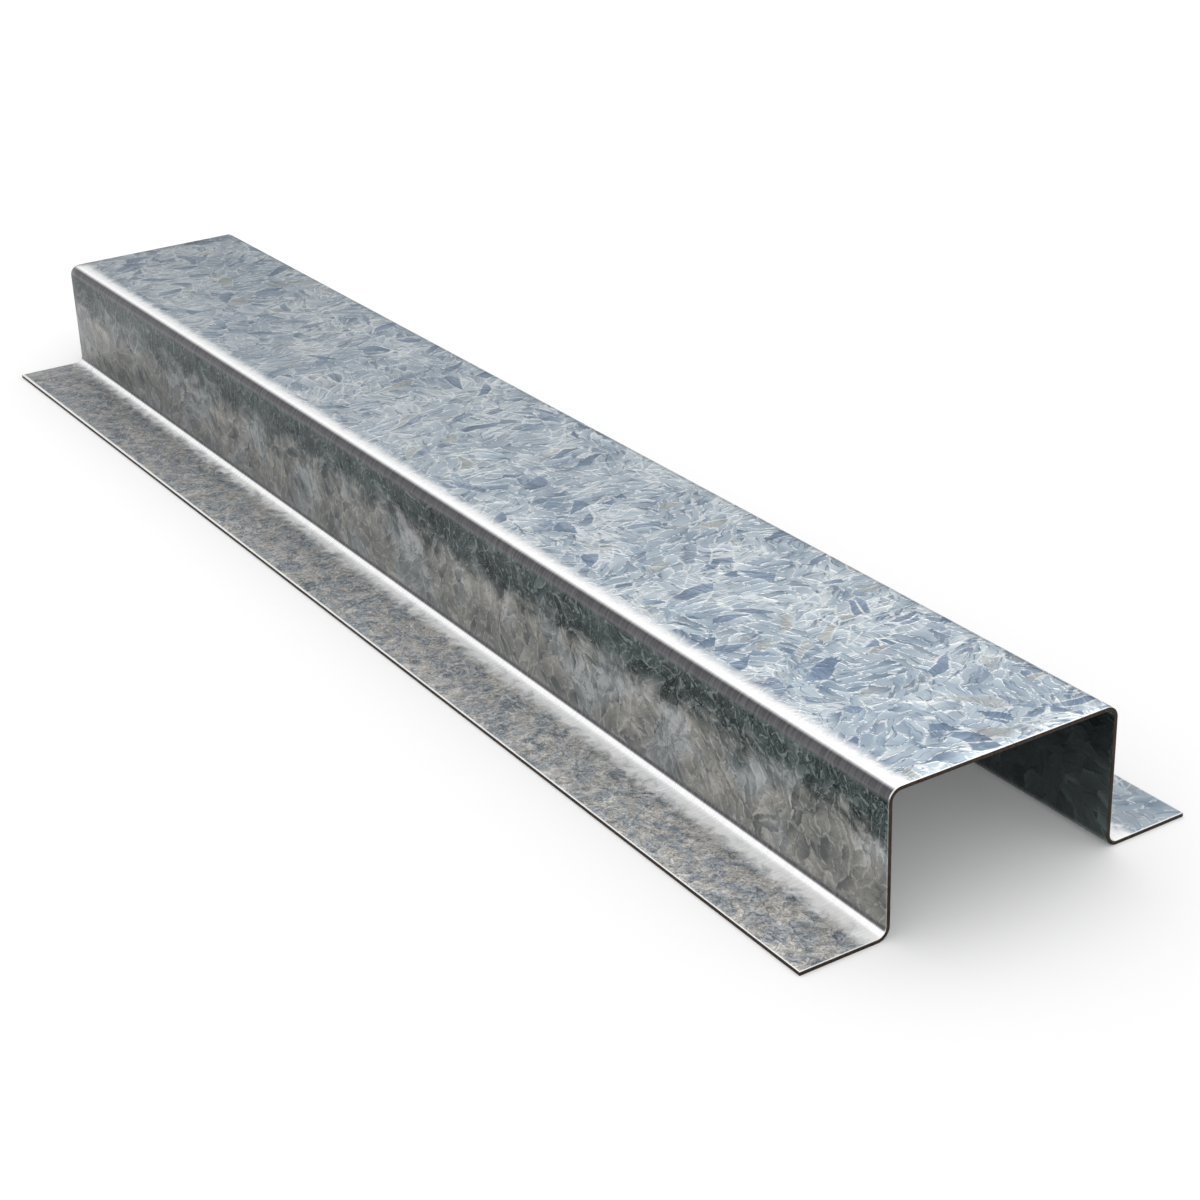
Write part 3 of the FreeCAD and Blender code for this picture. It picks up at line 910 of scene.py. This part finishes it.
ridge = add(tree, "Math", {0: ridge, 1: rays["Is Glossy Ray"]}, operation="MULTIPLY")
sky = add(tree, "Math", {0: sky, 1: ridge, 2: sky}, operation="MULTIPLY_ADD")
reach = add(tree, "SeparateXYZ", {0: ray})
fade = add(tree, "MapRange", {0: reach, 1: -0.95, 2: -0.65, 3: 0.8, 4: 1.0})
sky = add(tree, "Math", {0: sky, 1: fade}, operation="MULTIPLY")
open_end = add(tree, "MapRange", {0: reach, 1: 0.45, 2: 0.9, 3: 1.0, 4: 1.3}, **STEP)
sky = add(tree, "Math", {0: sky, 1: open_end}, operation="MULTIPLY")
soft = add(tree, "Background", {"Color": "#FFFFFF", "Strength": sky})
white = add(tree, "Background", {"Color": "#FFFFFF", "Strength": 1.0})
shown = add(tree, "MixShader", {0: rays["Is Camera Ray"], 1: soft, 2: white})
add(tree, "OutputWorld", {0: shown})
print("the canopy leans towards", [round(value, 2) for value in CANOPY_TOP])

# %% One soft lamp, to give the shadow a side
lamp = bpy.data.lights.new("overhead_softbox", "AREA")
lamp.shape = "RECTANGLE"
lamp.size, lamp.size_y = 1.2, 0.8
lamp.energy = 3
softbox = bpy.data.objects.new("overhead_softbox", lamp)
bpy.context.scene.collection.objects.link(softbox)
softbox.location = (-0.35, 0.45, 1.2)
softbox.rotation_euler = (-softbox.location).to_track_quat("-Z", "Y").to_euler()
print("the softbox hangs", round(softbox.location.length, 2), "m from the batten")

# %% [markdown]
# ## The camera
#
# The camera stands in front of the near end, to the left of the batten and a little above it, and
# looks along it. Its place is given by how far it is turned and raised from the batten's end, how
# far back it stands, and how far it is then moved aside and down to frame the batten. A slight
# roll tips the picture as a hand-held camera does.

# %% Place the camera
TURN, RISE, ROLL = (math.radians(a) for a in (58.26, 25.36, -2.22))
DISTANCE, ASIDE, BELOW = 756.9 * MM, 39.27 * MM, 16.12 * MM
back = Vector((math.sin(TURN) * math.cos(RISE), -math.cos(TURN) * math.cos(RISE), math.sin(RISE)))
level = (-back).cross(Vector((0, 0, 1))).normalized()
upward = level.cross(-back)
right = math.cos(ROLL) * level + math.sin(ROLL) * upward
top = math.cos(ROLL) * upward - math.sin(ROLL) * level
stand = back * DISTANCE + right * ASIDE - top * BELOW
lens = bpy.data.cameras.new("camera")
lens.lens = 71.0
lens.sensor_width = 36
camera = bpy.data.objects.new("camera", lens)
bpy.context.scene.collection.objects.link(camera)
camera.matrix_world = Matrix((
    (right.x, top.x, back.x, stand.x),
    (right.y, top.y, back.y, stand.y),
    (right.z, top.z, back.z, stand.z),
    (0, 0, 0, 1)))
bpy.context.scene.camera = camera
bpy.context.scene.view_settings.view_transform = "Standard"
print("the camera stands at", [round(value, 3) for value in stand], "m")

# %% [markdown]
# ## The sizes of the CAD part and the visible batten
#
# The boxes of the CAD part and of the visible batten are printed in millimetres, to a thousandth.

# %% Print both boxes
visual_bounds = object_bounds()
for name, bounds in (("CAD", cad_bounds), ("visual", visual_bounds)):
    print(name, [[round(value / MM, 3) for value in corner] for corner in bounds])
